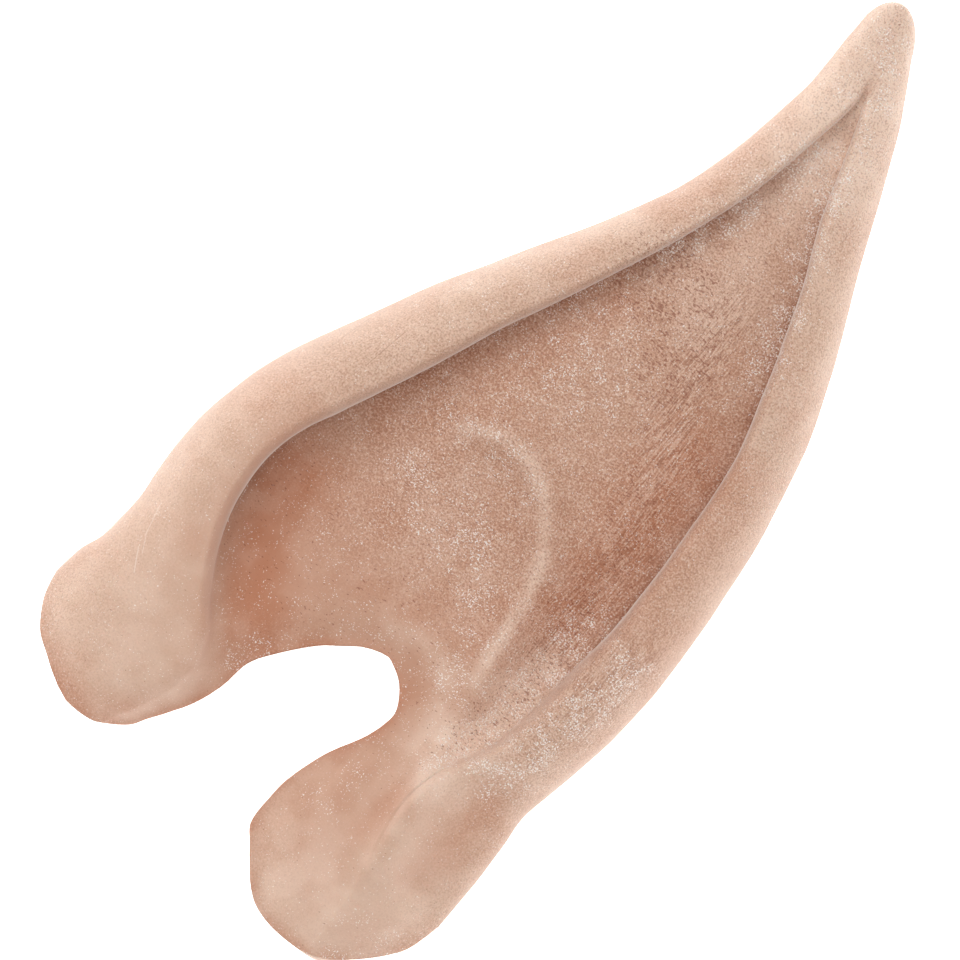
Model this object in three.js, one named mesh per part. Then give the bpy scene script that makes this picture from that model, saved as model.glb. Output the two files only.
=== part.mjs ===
// A slip-on costume ear of cast latex: one thin hollow shell with a long pointed tip.
// It lies on its back, front face up. +Y runs from the lobes to the tip and +Z out of the front face.
// The shell is an outer and an inner skin, both trimmed at the base to two lobes, a notch and an arch
// behind them, and joined along that trimmed edge.
import * as THREE from "three";

// Driving dimensions, in millimetres
const earLength = 120; // from the end of the back lobe to the tip
const earWidth = 59.2; // across the widest part of the outline
const bodyDepth = 22; // from the back wall to the highest crest of the rim
const sideHeight = 9; // of the outline's widest line above the back wall
const wall = 1.8; // thickness of the cast latex
const rimWidth = 8.5; // of the rolled rim, halfway up the ear
const notchDepth = 30.4; // from the base line to the top of the notch in the front
const archMargin = 7; // how much farther up the arch in the back wall reaches than the notch
const ridgeHeight = 1.4; // of the curved ridge that crosses the bowl
const lobeRise = 1.6; // of the back lobe's dome
const edgeRoll = 1.4; // how far the front sinks to its trimmed edge
const edgeReach = 2.8; // how far in from the trimmed edge it starts to sink

const latexColour = 0xcf9f84;

// Proportions
const crestPlace = 0.76; // of a rim's crest, as a share of the rim's width from its outer side
const rimsShare = 0.97; // the most of the outline's width that the two rims take up together
const backFlatness = 2.6; // exponent of the back wall's section: 2 is an ellipse
const hollowShare = 0.82; // share of the length that is hollow
const tipShare = 0.03; // share of the length that the round end of the tip takes
const tipStart = 25; // degrees of its quarter circle that the round end leaves out
const tipLean = -0.22; // how far the round end drifts sideways for each millimetre ahead
const innerEndShare = 0.035; // share of the length that the hollow's round end takes
const levelShare = 0.12; // share of the length over which the hollow's rims level out before it
const levelled = 0.15; // what is left there of a rim's rise above the floor
const leastRim = 0.25; // least width of the hollow's rim, as a share of the outer one's
const footShare = 0.65; // share of its fall that a rim lying flat leaves to its foot
const baseOverrun = 0.04; // share of the length that the skins run on past the base line
const rowCrowding = 1.3; // above 1, the sections stand closer together near the base

// How fine the two skins are
const outerSteps = { rows: 66, end: 6, rim: 11, floor: 24, back: 20 };
const innerSteps = { rows: 40, end: 4, rim: 6, floor: 14, back: 16 };
const edgeSteps = 3; // points between two rows of an edge or a path
const snapDistance = 0.02; // a skin's point this near to a trimmed edge is taken to be on it
const leastReach = 0.01; // shortest distance over which a rim's foot falls

// The outline: at is a share of earLength, left and right are shares of earWidth.
const outline = [
  { at: 0.0, left: -0.49, right: 0.464 },
  { at: 0.09, left: -0.49, right: 0.464 },
  { at: 0.13, left: -0.487, right: 0.463 },
  { at: 0.15, left: -0.482, right: 0.463 },
  { at: 0.17, left: -0.468, right: 0.461 },
  { at: 0.19, left: -0.462, right: 0.459 },
  { at: 0.22, left: -0.459, right: 0.454 },
  { at: 0.25, left: -0.466, right: 0.464 },
  { at: 0.28, left: -0.469, right: 0.475 },
  { at: 0.32, left: -0.466, right: 0.487 },
  { at: 0.36, left: -0.45, right: 0.492 },
  { at: 0.4, left: -0.425, right: 0.492 },
  { at: 0.45, left: -0.382, right: 0.486 },
  { at: 0.5, left: -0.332, right: 0.474 },
  { at: 0.55, left: -0.281, right: 0.46 },
  { at: 0.6, left: -0.224, right: 0.437 },
  { at: 0.65, left: -0.166, right: 0.41 },
  { at: 0.7, left: -0.112, right: 0.37 },
  { at: 0.75, left: -0.066, right: 0.322 },
  { at: 0.8, left: -0.037, right: 0.274 },
  { at: 0.85, left: -0.019, right: 0.23 },
  { at: 0.89, left: -0.008, right: 0.194 },
  { at: 0.915, left: -0.008, right: 0.17 },
  { at: 0.94, left: -0.009, right: 0.142 },
  { at: 0.97, left: -0.008, right: 0.106 },
];

// The front rim, from the front lobe to the tip. width is a share of rimWidth, crest and floor are
// heights as shares of bodyDepth, and turn says how many degrees the rim rolls past its crest: 90
// stands upright and more is tucked under.
const leftRim = [
  { at: 0.0, width: 1.6, turn: 50, crest: 0.84, floor: 0.8 },
  { at: 0.05, width: 1.8, turn: 50, crest: 0.88, floor: 0.835 },
  { at: 0.08, width: 2.03, turn: 50, crest: 0.9, floor: 0.85 },
  { at: 0.11, width: 2.19, turn: 52, crest: 0.915, floor: 0.855 },
  { at: 0.13, width: 2.19, turn: 55, crest: 0.925, floor: 0.85 },
  { at: 0.15, width: 2.1, turn: 58, crest: 0.935, floor: 0.835 },
  { at: 0.17, width: 1.88, turn: 62, crest: 0.945, floor: 0.8 },
  { at: 0.19, width: 1.6, turn: 66, crest: 0.955, floor: 0.75 },
  { at: 0.22, width: 1.29, turn: 74, crest: 0.96, floor: 0.68 },
  { at: 0.25, width: 1.14, turn: 86, crest: 0.96, floor: 0.62 },
  { at: 0.28, width: 1.05, turn: 100, crest: 0.955, floor: 0.575 },
  { at: 0.32, width: 0.99, turn: 115, crest: 0.945, floor: 0.56 },
  { at: 0.36, width: 0.99, turn: 125, crest: 0.93, floor: 0.565 },
  { at: 0.4, width: 1.06, turn: 130, crest: 0.91, floor: 0.57 },
  { at: 0.45, width: 1.09, turn: 135, crest: 0.88, floor: 0.57 },
  { at: 0.5, width: 1.03, turn: 135, crest: 0.84, floor: 0.565 },
  { at: 0.55, width: 0.96, turn: 135, crest: 0.805, floor: 0.55 },
  { at: 0.6, width: 0.87, turn: 135, crest: 0.77, floor: 0.535 },
  { at: 0.65, width: 0.78, turn: 135, crest: 0.735, floor: 0.515 },
  { at: 0.7, width: 0.69, turn: 135, crest: 0.7, floor: 0.495 },
  { at: 0.75, width: 0.62, turn: 135, crest: 0.665, floor: 0.48 },
  { at: 0.8, width: 0.6, turn: 132, crest: 0.63, floor: 0.465 },
  { at: 0.85, width: 0.6, turn: 125, crest: 0.595, floor: 0.455 },
  { at: 0.89, width: 0.61, turn: 110, crest: 0.565, floor: 0.47 },
  { at: 0.915, width: 0.62, turn: 75, crest: 0.548, floor: 0.5 },
  { at: 0.94, width: 0.55, turn: 30, crest: 0.528, floor: 0.525 },
  { at: 0.97, width: 0.36, turn: 15, crest: 0.5, floor: 0.498 },
];

// The back rim, from the back lobe to the tip, with the same columns.
const rightRim = [
  { at: 0.0, width: 1.2, turn: 18, crest: 0.606, floor: 0.602 },
  { at: 0.05, width: 1.25, turn: 18, crest: 0.64, floor: 0.635 },
  { at: 0.08, width: 1.3, turn: 20, crest: 0.657, floor: 0.649 },
  { at: 0.11, width: 1.38, turn: 24, crest: 0.676, floor: 0.656 },
  { at: 0.13, width: 1.44, turn: 28, crest: 0.693, floor: 0.658 },
  { at: 0.15, width: 1.48, turn: 32, crest: 0.713, floor: 0.66 },
  { at: 0.17, width: 1.46, turn: 36, crest: 0.732, floor: 0.655 },
  { at: 0.19, width: 1.38, turn: 41, crest: 0.745, floor: 0.645 },
  { at: 0.22, width: 1.18, turn: 48, crest: 0.76, floor: 0.625 },
  { at: 0.25, width: 1.0, turn: 55, crest: 0.775, floor: 0.6 },
  { at: 0.28, width: 0.98, turn: 62, crest: 0.79, floor: 0.575 },
  { at: 0.32, width: 0.99, turn: 72, crest: 0.805, floor: 0.555 },
  { at: 0.36, width: 0.98, turn: 85, crest: 0.81, floor: 0.545 },
  { at: 0.4, width: 0.93, turn: 105, crest: 0.81, floor: 0.54 },
  { at: 0.45, width: 0.91, turn: 125, crest: 0.8, floor: 0.54 },
  { at: 0.5, width: 0.88, turn: 132, crest: 0.79, floor: 0.535 },
  { at: 0.55, width: 0.84, turn: 135, crest: 0.77, floor: 0.52 },
  { at: 0.6, width: 0.8, turn: 135, crest: 0.745, floor: 0.51 },
  { at: 0.65, width: 0.83, turn: 135, crest: 0.715, floor: 0.495 },
  { at: 0.7, width: 0.8, turn: 135, crest: 0.685, floor: 0.48 },
  { at: 0.75, width: 0.72, turn: 135, crest: 0.65, floor: 0.465 },
  { at: 0.8, width: 0.71, turn: 132, crest: 0.615, floor: 0.455 },
  { at: 0.85, width: 0.65, turn: 125, crest: 0.585, floor: 0.45 },
  { at: 0.89, width: 0.6, turn: 110, crest: 0.56, floor: 0.468 },
  { at: 0.915, width: 0.58, turn: 75, crest: 0.545, floor: 0.5 },
  { at: 0.94, width: 0.44, turn: 30, crest: 0.527, floor: 0.525 },
  { at: 0.97, width: 0.36, turn: 15, crest: 0.5, floor: 0.498 },
];

// Between the rims: floor is the hollow's middle and back the back wall's lowest line, as shares of
// bodyDepth, and side is the height of the outline as a share of sideHeight.
const bed = [
  { at: 0.0, floor: 0.54, back: 0.0, side: 1.0 },
  { at: 0.08, floor: 0.555, back: 0.0, side: 1.0 },
  { at: 0.15, floor: 0.57, back: 0.0, side: 1.0 },
  { at: 0.22, floor: 0.585, back: 0.0, side: 1.0 },
  { at: 0.3, floor: 0.6, back: 0.0, side: 1.0 },
  { at: 0.38, floor: 0.605, back: 0.0, side: 0.98 },
  { at: 0.45, floor: 0.6, back: 0.0, side: 0.95 },
  { at: 0.5, floor: 0.59, back: 0.005, side: 0.93 },
  { at: 0.6, floor: 0.555, back: 0.022, side: 0.91 },
  { at: 0.7, floor: 0.51, back: 0.052, side: 0.89 },
  { at: 0.8, floor: 0.475, back: 0.1, side: 0.87 },
  { at: 0.85, floor: 0.46, back: 0.13, side: 0.865 },
  { at: 0.89, floor: 0.468, back: 0.158, side: 0.86 },
  { at: 0.915, floor: 0.5, back: 0.175, side: 0.86 },
  { at: 0.94, floor: 0.53, back: 0.193, side: 0.86 },
  { at: 0.97, floor: 0.505, back: 0.215, side: 0.86 },
];

// The front's trimmed edge, from the outline round the front lobe, the notch and the back lobe.
// across is a share of earWidth and along of notchDepth.
const frontEdge = [
  { across: -0.49, along: 0.495 },
  { across: -0.477, along: 0.391 },
  { across: -0.443, along: 0.288 },
  { across: -0.404, along: 0.235 },
  { across: -0.364, along: 0.188 },
  { across: -0.318, along: 0.153 },
  { across: -0.269, along: 0.156 },
  { across: -0.242, along: 0.179 },
  { across: -0.205, along: 0.231 },
  { across: -0.188, along: 0.284 },
  { across: -0.167, along: 0.345 },
  { across: -0.139, along: 0.441 },
  { across: -0.121, along: 0.55 },
  { across: -0.112, along: 0.664 },
  { across: -0.08, along: 0.764 },
  { across: -0.035, along: 0.87 },
  { across: 0.0, along: 0.926 },
  { across: 0.033, along: 0.974 },
  { across: 0.07, along: 1.0 },
  { across: 0.092, along: 0.99 },
  { across: 0.124, along: 0.95 },
  { across: 0.15, along: 0.872 },
  { across: 0.148, along: 0.8 },
  { across: 0.134, along: 0.718 },
  { across: 0.113, along: 0.64 },
  { across: 0.097, along: 0.568 },
  { across: 0.079, along: 0.444 },
  { across: 0.075, along: 0.355 },
  { across: 0.077, along: 0.242 },
  { across: 0.101, along: 0.178 },
  { across: 0.124, along: 0.124 },
  { across: 0.152, along: 0.064 },
  { across: 0.185, along: 0.021 },
  { across: 0.234, along: 0.0 },
  { across: 0.293, along: 0.004 },
  { across: 0.344, along: 0.043 },
  { across: 0.395, along: 0.124 },
  { across: 0.441, along: 0.231 },
  { across: 0.457, along: 0.32 },
  { across: 0.463, along: 0.38 },
];

// The back wall's trimmed edge: a plain arch. across is a share of earWidth and
// along of the arch's depth, which is notchDepth and archMargin together.
const backEdge = [
  { across: -0.49, along: 0.402 },
  { across: -0.448, along: 0.54 },
  { across: -0.348, along: 0.7 },
  { across: -0.202, along: 0.87 },
  { across: -0.02, along: 0.99 },
  { across: 0.09, along: 1.0 },
  { across: 0.217, along: 0.9 },
  { across: 0.326, along: 0.67 },
  { across: 0.408, along: 0.43 },
  { across: 0.463, along: 0.309 },
];

// Soft ridges and hollows on the front. Each follows a path of [across, along] shares of earWidth
// and earLength, rises by lift millimetres and fades over reach, a share of earWidth. It comes up
// from nothing over fadeIn, a share of its path.
const strokes = [
  {
    name: "curved_ridge",
    lift: ridgeHeight,
    reach: 0.036,
    fadeIn: 0.12,
    path: [
      [-0.113, 0.45],
      [-0.004, 0.472],
      [0.106, 0.454],
      [0.189, 0.396],
      [0.22, 0.324],
      [0.247, 0.252],
      [0.276, 0.18],
      [0.308, 0.117],
    ],
  },
  {
    name: "bowl",
    lift: -0.9 * ridgeHeight,
    reach: 0.14,
    fadeIn: 0,
    path: [
      [-0.16, 0.3],
      [-0.1, 0.36],
      [0.05, 0.36],
    ],
  },
  {
    name: "bowl_lip",
    lift: 0.35 * ridgeHeight,
    reach: 0.03,
    fadeIn: 0.4,
    path: [
      [-0.04, 0.26],
      [0.07, 0.285],
      [0.16, 0.28],
      [0.2, 0.235],
    ],
  },
  {
    name: "groove",
    lift: -0.8 * ridgeHeight,
    reach: 0.05,
    fadeIn: 0.55,
    path: [
      [0.28, 0.6],
      [0.3, 0.5],
      [0.305, 0.42],
      [0.303, 0.36],
      [0.297, 0.3],
      [0.283, 0.235],
    ],
  },
  {
    name: "back_valley",
    lift: -ridgeHeight,
    reach: 0.05,
    fadeIn: 0,
    path: [
      [0.385, 0.21],
      [0.39, 0.16],
      [0.38, 0.12],
    ],
  },
  {
    name: "back_lobe",
    lift: lobeRise,
    reach: 0.15,
    fadeIn: 0,
    path: [
      [0.26, 0.14],
      [0.25, 0.07],
    ],
  },
];

const degrees = Math.PI / 180;

// A share along the length as a y, with the middle of the length at 0.
function lengthwise(at) {
  return (at - 0.5) * earLength;
}

// A table's column at any place along it, on a smooth curve through the rows.
function columnAt(rows, column, at) {
  const last = rows.length - 1;
  if (at <= rows[0].at) return rows[0][column];
  if (at >= rows[last].at) return rows[last][column];
  const i = rows.findIndex((row) => row.at > at) - 1;
  const slope = (k) => {
    const a = rows[Math.max(k - 1, 0)];
    const b = rows[Math.min(k + 1, last)];
    return (b[column] - a[column]) / (b.at - a.at);
  };
  const step = rows[i + 1].at - rows[i].at;
  const t = (at - rows[i].at) / step;
  return (
    rows[i][column] * (1 + 2 * t) * (1 - t) ** 2 +
    slope(i) * step * t * (1 - t) ** 2 +
    rows[i + 1][column] * t * t * (3 - 2 * t) +
    slope(i + 1) * step * t * t * (t - 1)
  );
}

// A trimmed edge as points in millimetres, on a smooth curve through the table's rows.
function edgePoints(rows, depth) {
  const points = rows.map(
    (row) => new THREE.Vector2(row.across * earWidth, lengthwise(0) + row.along * depth),
  );
  return new THREE.SplineCurve(points).getPoints(edgeSteps * rows.length);
}

const frontLine = edgePoints(frontEdge, notchDepth);
const backLine = edgePoints(backEdge, notchDepth + archMargin);

// The shortest distance from a point to a run of points, and at what share of the run it is.
function nearestOn(points, x, y) {
  const best = { away: Infinity, share: 0 };
  for (let i = 0; i + 1 < points.length; i++) {
    const [a, b] = [points[i], points[i + 1]];
    const [dx, dy] = [b.x - a.x, b.y - a.y];
    const t = THREE.MathUtils.clamp(((x - a.x) * dx + (y - a.y) * dy) / (dx * dx + dy * dy), 0, 1);
    const away = Math.hypot(a.x + t * dx - x, a.y + t * dy - y);
    if (away < best.away) {
      best.away = away;
      best.share = (i + t) / (points.length - 1);
    }
  }
  return best;
}

const strokePaths = strokes.map((stroke) => {
  const points = stroke.path.map(
    ([across, along]) => new THREE.Vector2(across * earWidth, lengthwise(along)),
  );
  return new THREE.SplineCurve(points).getPoints(edgeSteps * points.length);
});

// How far the strokes and the roll at the trimmed edge raise the front at a point.
function relief(x, y) {
  let lift = -edgeRoll * Math.exp(-((nearestOn(frontLine, x, y).away / edgeReach) ** 2));
  strokes.forEach((stroke, i) => {
    const near = nearestOn(strokePaths[i], x, y);
    const away = near.away / (stroke.reach * earWidth);
    const strength = stroke.fadeIn > 0 ? THREE.MathUtils.smoothstep(near.share, 0, stroke.fadeIn) : 1;
    lift += stroke.lift * strength * Math.exp(-away * away);
  });
  return lift;
}

// What share of their own widths the rims have. Near the tip they fill the outline, and where it is
// too narrow for both, each gives way by as much.
function rimFit(at) {
  const room = (columnAt(outline, "right", at) - columnAt(outline, "left", at)) * earWidth;
  const wanted = (columnAt(leftRim, "width", at) + columnAt(rightRim, "width", at)) * rimWidth;
  return Math.min(1, (rimsShare * room) / wanted);
}

// One rim of a section.
function rimAt(rows, at, inset) {
  const turn = columnAt(rows, "turn", at) * degrees;
  const width = columnAt(rows, "width", at) * rimWidth * rimFit(at);
  const crest = columnAt(rows, "crest", at) * bodyDepth - inset;
  const floor = columnAt(rows, "floor", at) * bodyDepth - inset;
  const rim = { turn, width, crest, floor };
  const fitted = inset > 0 ? hollowRim(rim, at, inset) : rim;
  return { ...fitted, outside: fitted.width * crestPlace, inside: fitted.width * (1 - crestPlace) };
}

// The hollow's rim stays a wall's thickness inside the outer one. It stands upright where that is
// tucked under, and levels out towards the hollow's end.
function hollowRim(rim, at, inset) {
  const tucked = rim.turn > 90 * degrees ? (1 - crestPlace) * (1 - Math.sin(rim.turn)) : 0;
  const end = hollowShare - innerEndShare;
  const near = THREE.MathUtils.smoothstep(at, end - levelShare, end);
  const standing = THREE.MathUtils.lerp(1, levelled, near);
  return {
    turn: Math.min(rim.turn, 90 * degrees),
    width: Math.max(rim.width * (1 - tucked) - 2 * inset, leastRim * rim.width),
    crest: THREE.MathUtils.lerp(rim.floor, rim.crest, standing),
    floor: rim.floor,
  };
}

// The named sizes of the section at a share of the length, with its skin moved in by inset.
function sectionAt(at, inset) {
  return {
    y: lengthwise(at),
    left: columnAt(outline, "left", at) * earWidth + inset,
    right: columnAt(outline, "right", at) * earWidth - inset,
    leftRim: rimAt(leftRim, at, inset),
    rightRim: rimAt(rightRim, at, inset),
    floor: columnAt(bed, "floor", at) * bodyDepth - inset,
    back: columnAt(bed, "back", at) * bodyDepth + inset,
    side: columnAt(bed, "side", at) * sideHeight,
  };
}

// How far a rim falls over the quarter turn inside its crest. Tucked under, it ends on the floor,
// and a rim that doesn't come to stand upright leaves a part of the fall to its foot.
function rimDrop(rim) {
  const open = Math.max(0, Math.cos(rim.turn));
  return ((rim.crest - rim.floor) * (1 - footShare * open)) / (1 - Math.cos(rim.turn));
}

// A rim's roll from its outer side over the crest: distance in from the side, and height.
function rimPoint(rim, side, share) {
  const angle = share * (90 * degrees + rim.turn) - 90 * degrees; // 0 at the crest
  if (angle <= 0) {
    return {
      across: rim.outside * (1 + Math.sin(angle)),
      z: side + (rim.crest - side) * Math.cos(angle),
    };
  }
  return {
    across: rim.outside + rim.inside * Math.sin(angle),
    z: rim.crest - rimDrop(rim) * (1 - Math.cos(angle)),
  };
}

// What is left to fall from the end of a rim's roll to the floor, and over what distance.
function rimFoot(rim) {
  const height = rim.crest - rimDrop(rim) * (1 - Math.cos(rim.turn)) - rim.floor;
  const slope = (rimDrop(rim) / rim.inside) * Math.abs(Math.tan(rim.turn));
  return { height, reach: Math.max(height / slope, leastReach) };
}

// The ring of points round one section: left rim, floor, right rim and back.
function sectionRing(at, inset, steps) {
  const s = sectionAt(at, inset);
  const ring = [];
  const add = (x, z, share) => ring.push(new THREE.Vector3(x, s.y, z + share * relief(x, s.y)));
  const rise = (rim, z) => THREE.MathUtils.clamp((z - s.side) / (rim.crest - s.side), 0, 1);
  for (let i = 0; i < steps.rim; i++) {
    const p = rimPoint(s.leftRim, s.side, i / steps.rim);
    add(s.left + p.across, p.z, rise(s.leftRim, p.z));
  }
  const from = s.left + rimPoint(s.leftRim, s.side, 1).across;
  const to = s.right - rimPoint(s.rightRim, s.side, 1).across;
  const [leftFoot, rightFoot] = [rimFoot(s.leftRim), rimFoot(s.rightRim)];
  for (let i = 0; i <= steps.floor; i++) {
    const w = i / steps.floor;
    const x = THREE.MathUtils.lerp(from, to, w);
    const z =
      s.leftRim.floor * (1 - w) * (1 - 2 * w) +
      s.floor * 4 * w * (1 - w) +
      s.rightRim.floor * w * (2 * w - 1) +
      leftFoot.height * Math.exp(-(x - from) / leftFoot.reach) +
      rightFoot.height * Math.exp(-(to - x) / rightFoot.reach);
    add(x, z, 1);
  }
  for (let i = steps.rim - 1; i >= 0; i--) {
    const p = rimPoint(s.rightRim, s.side, i / steps.rim);
    add(s.right - p.across, p.z, rise(s.rightRim, p.z));
  }
  const [middle, half] = [(s.left + s.right) / 2, (s.right - s.left) / 2];
  for (let i = 1; i < steps.back; i++) {
    const angle = (i / steps.back) * 180 * degrees;
    const across = Math.sign(Math.cos(angle)) * Math.abs(Math.cos(angle)) ** (2 / backFlatness);
    const down = Math.sin(angle) ** (2 / backFlatness);
    add(middle + half * across, s.side - (s.side - s.back) * down, 0);
  }
  return ring;
}

// The closed outline of what a trimmed edge cuts away.
function cutOutline(line) {
  const beyond = earWidth;
  const below = lengthwise(0) - beyond;
  const [start, end] = [line[0], line[line.length - 1]];
  return [
    new THREE.Vector2(start.x - beyond, start.y),
    new THREE.Vector2(start.x - beyond, below),
    new THREE.Vector2(end.x + beyond, below),
    new THREE.Vector2(end.x + beyond, end.y),
    ...[...line].reverse(),
    new THREE.Vector2(start.x - beyond, start.y),
  ];
}

const frontCut = cutOutline(frontLine);
const backCut = cutOutline(backLine);

// How far a point is from a trimmed edge: above 0 where the skin stays, below 0 where it is cut off.
function stayAt(outline, x, y) {
  let inside = false;
  for (let i = 0; i + 1 < outline.length; i++) {
    const [a, b] = [outline[i], outline[i + 1]];
    if (a.y > y !== b.y > y && x < ((b.x - a.x) * (y - a.y)) / (b.y - a.y) + a.x) inside = !inside;
  }
  const { away } = nearestOn(outline, x, y);
  if (away < snapDistance) return 0;
  return inside ? -away : away;
}

// The middle of a ring of points.
function middleOf(ring) {
  return ring.reduce((sum, p) => sum.add(p), new THREE.Vector3()).divideScalar(ring.length);
}

// A skin's rings from below the base to its round end, which starts at the share shoulder of the
// length and takes endShare of it. stays holds every point's stayAt. It is read off the outer skin,
// so that both skins are cut at the same places.
function skinRings(inset, shoulder, endShare, steps) {
  const rings = [];
  const stays = [];
  const frontCount = 2 * steps.rim + steps.floor + 1;
  for (let i = 0; i < steps.rows; i++) {
    const share = (i / (steps.rows - 1)) ** rowCrowding;
    const at = THREE.MathUtils.lerp(-baseOverrun, shoulder, share);
    const ring = sectionRing(at, inset, steps);
    const outer = inset > 0 ? sectionRing(at, 0, steps) : ring;
    rings.push(ring);
    stays.push(outer.map((p, k) => stayAt(k < frontCount ? frontCut : backCut, p.x, p.y)));
  }
  const last = rings[rings.length - 1];
  const centre = middleOf(last);
  const start = tipStart * degrees;
  const endPoint = (angle) => {
    const ahead = (endShare * earLength * (Math.sin(angle) - Math.sin(start))) / (1 - Math.sin(start));
    return centre.clone().add(new THREE.Vector3(tipLean * ahead, ahead, 0));
  };
  for (let i = 1; i < steps.end; i++) {
    const angle = THREE.MathUtils.lerp(start, 90 * degrees, i / steps.end);
    const shrink = Math.cos(angle) / Math.cos(start);
    rings.push(last.map((p) => p.clone().sub(centre).multiplyScalar(shrink).add(endPoint(angle))));
    stays.push(stays[stays.length - 1]);
  }
  return { rings, stays, apex: endPoint(90 * degrees) };
}

// The faces between the rings of a skin, with the base cut off along the trimmed edge. points
// takes in the skin's points, and a face is a list of places in it.
function skinFaces({ rings, stays, apex }, points) {
  const first = points.length;
  const count = rings[0].length;
  const stay = stays.flat();
  points.push(...rings.flat(), apex);
  const top = points.length - 1;
  const cuts = new Map();
  const crossing = (i, j) => {
    const key = `${Math.min(i, j)},${Math.max(i, j)}`;
    if (!cuts.has(key)) {
      cuts.set(key, points.length);
      points.push(points[first + i].clone().lerp(points[first + j], stay[i] / (stay[i] - stay[j])));
    }
    return cuts.get(key);
  };
  const trimmed = (corners) =>
    corners.flatMap((from, k) => {
      const to = corners[(k + 1) % corners.length];
      const kept = stay[from] >= 0 ? [first + from] : [];
      return stay[from] * stay[to] < 0 ? [...kept, crossing(from, to)] : kept;
    });
  const faces = [];
  for (let row = 0; row < rings.length; row++) {
    for (let i = 0; i < count; i++) {
      const [a, b] = [row * count + i, row * count + ((i + 1) % count)];
      const atEnd = row === rings.length - 1;
      faces.push(atEnd ? [first + a, first + b, top] : trimmed([a, b, b + count, a + count]));
    }
  }
  return faces.filter((face) => face.length > 2);
}

// The points round the open edge of some faces, in the faces' own order.
function openEdge(faces) {
  const edges = faces.flatMap((face) => face.map((p, k) => [p, face[(k + 1) % face.length]]));
  const names = new Set(edges.map(([from, to]) => `${from},${to}`));
  const after = new Map(edges.filter(([from, to]) => !names.has(`${to},${from}`)));
  const run = [...after.keys()].slice(0, 1);
  while (after.get(run[run.length - 1]) !== run[0]) run.push(after.get(run[run.length - 1]));
  return run;
}

// Triangles along the cut from one skin's open edge to the other's, both in the same order.
function edgeFaces(points, outer, inner) {
  const gap = (i, j) => points[outer[i % outer.length]].distanceTo(points[inner[j % inner.length]]);
  const start = inner.reduce((best, _, j) => (gap(0, j) < gap(0, best) ? j : best), 0);
  const end = start + inner.length;
  const faces = [];
  let [i, j] = [0, start];
  while (i < outer.length || j < end) {
    const [a, b] = [outer[i % outer.length], inner[j % inner.length]];
    if (j === end || (i < outer.length && gap(i + 1, j) < gap(i, j + 1))) {
      i += 1;
      faces.push([outer[i % outer.length], a, b]);
    } else {
      j += 1;
      faces.push([a, b, inner[j % inner.length]]);
    }
  }
  return faces;
}

// A face of any number of corners as triangles. A four-sided one is split at its shorter diagonal.
function trianglesOf(face, points) {
  const length = (i, k) => points[face[i]].distanceTo(points[face[k]]);
  const turned = face.length === 4 && length(1, 3) < length(0, 2);
  const corners = turned ? [...face.slice(1), face[0]] : face;
  return corners.slice(2).flatMap((corner, k) => [corners[0], corners[k + 1], corner]);
}

// Faces as a geometry of only the points that they use, centred on its outline and resting on 0.
function geometryOf(faces, points) {
  const used = [...new Set(faces.flat())];
  const place = new Map(used.map((p, i) => [p, i]));
  const geometry = new THREE.BufferGeometry().setFromPoints(used.map((p) => points[p]));
  geometry.setIndex(faces.flatMap((face) => trianglesOf(face, points)).map((p) => place.get(p)));
  geometry.computeBoundingBox();
  const { min, max } = geometry.boundingBox;
  geometry.translate(-(min.x + max.x) / 2, -(min.y + max.y) / 2, -min.z);
  geometry.computeVertexNormals();
  return geometry;
}

// The whole shell: the outer skin, the hollow's skin turned inside out and the cut edge between them.
function shell() {
  const points = [];
  const outer = skinFaces(skinRings(0, 1 - tipShare, tipShare, outerSteps), points);
  const hollow = skinRings(wall, hollowShare - innerEndShare, innerEndShare, innerSteps);
  const inner = skinFaces(hollow, points);
  const cut = edgeFaces(points, openEdge(outer), openEdge(inner));
  return geometryOf([...outer, ...inner.map((face) => [...face].reverse()), ...cut], points);
}

const latex = new THREE.MeshStandardMaterial({ color: latexColour, roughness: 0.7, metalness: 0 });
const ear = new THREE.Mesh(shell(), latex);
ear.name = "latex_ear";
const costumeEar = new THREE.Group();
costumeEar.add(ear);
export default costumeEar;
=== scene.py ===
import math
from collections import namedtuple

import bpy
import numpy as np
from mathutils import Matrix, Vector, noise


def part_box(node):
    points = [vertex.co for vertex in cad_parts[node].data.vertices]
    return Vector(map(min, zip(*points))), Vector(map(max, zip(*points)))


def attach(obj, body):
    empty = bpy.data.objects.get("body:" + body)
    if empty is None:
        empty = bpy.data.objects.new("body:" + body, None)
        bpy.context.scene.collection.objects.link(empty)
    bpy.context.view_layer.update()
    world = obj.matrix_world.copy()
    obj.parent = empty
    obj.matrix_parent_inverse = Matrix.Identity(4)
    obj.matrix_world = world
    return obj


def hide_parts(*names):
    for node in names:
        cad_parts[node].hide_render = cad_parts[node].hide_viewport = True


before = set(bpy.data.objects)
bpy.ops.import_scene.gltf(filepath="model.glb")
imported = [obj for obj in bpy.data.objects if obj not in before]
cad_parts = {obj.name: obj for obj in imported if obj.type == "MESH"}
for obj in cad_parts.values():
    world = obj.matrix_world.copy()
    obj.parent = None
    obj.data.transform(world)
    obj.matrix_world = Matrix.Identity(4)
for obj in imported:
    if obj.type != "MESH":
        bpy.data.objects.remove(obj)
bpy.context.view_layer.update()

# The ear's sizes, in millimetres, as the CAD part has them
EAR_LENGTH = 120
EAR_WIDTH = 59.2
BODY_DEPTH = 22
SIDE_HEIGHT = 9
WALL = 1.8
RIM_WIDTH = 8.5
NOTCH_DEPTH = 30.4
ARCH_MARGIN = 7
RIDGE_HEIGHT = 1.4
LOBE_RISE = 1.6
EDGE_ROLL = 1.4
EDGE_REACH = 2.8
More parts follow.
